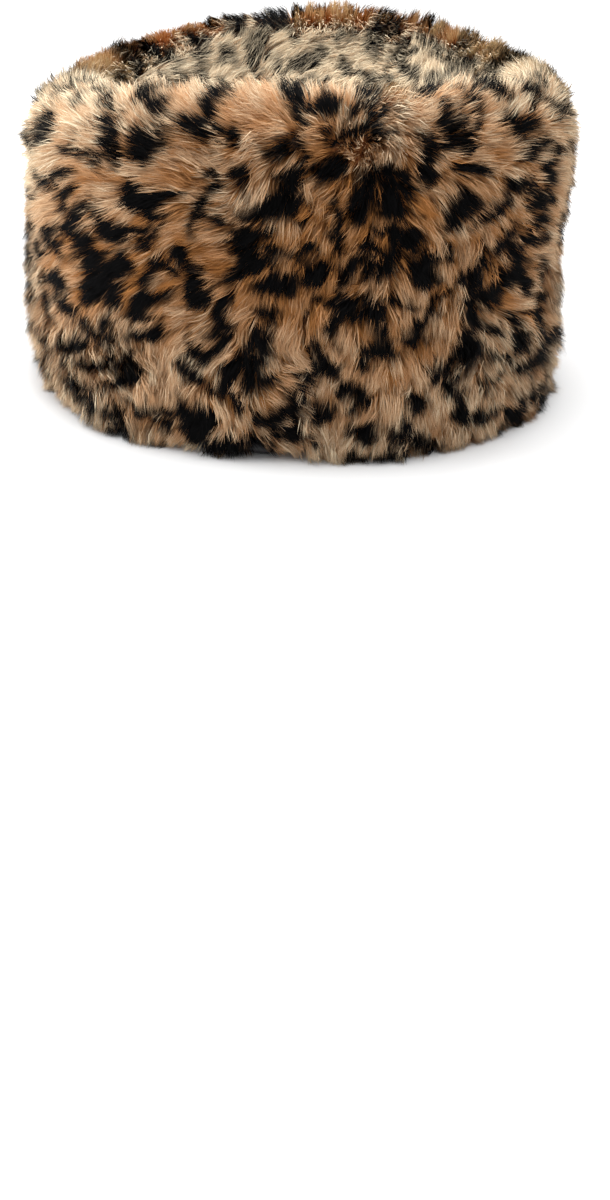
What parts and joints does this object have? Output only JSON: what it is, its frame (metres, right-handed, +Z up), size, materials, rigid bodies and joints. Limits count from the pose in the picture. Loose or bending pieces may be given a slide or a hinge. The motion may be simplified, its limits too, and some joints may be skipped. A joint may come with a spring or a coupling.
{
  "type": "fur hat",
  "caption": "Round deep-pile fur hat with an oval band, a sunken crown, a dark satin lining and a gathered band at the nape; it rests on its hem.",
  "frame": {"origin": "on the surface that the hat stands on, under the middle of its outer box", "axes": "+Z up through the crown, -Y towards the wearer's front, the side seams at -X and +X"},
  "size_m": [0.2062, 0.237, 0.1465],
  "materials": {
    "fur": "deep tufted pile in tan to cream with black spots, matt with a soft sheen",
    "satin": "black satin, soft gloss, gathered at the nape"
  },
  "bodies": {
    "root": {"band_front": "fur", "band_back": "fur", "crown_top": "fur", "lining_side": "satin", "lining_top": "satin", "nape_gather": "satin"}
  },
  "joints": []
}
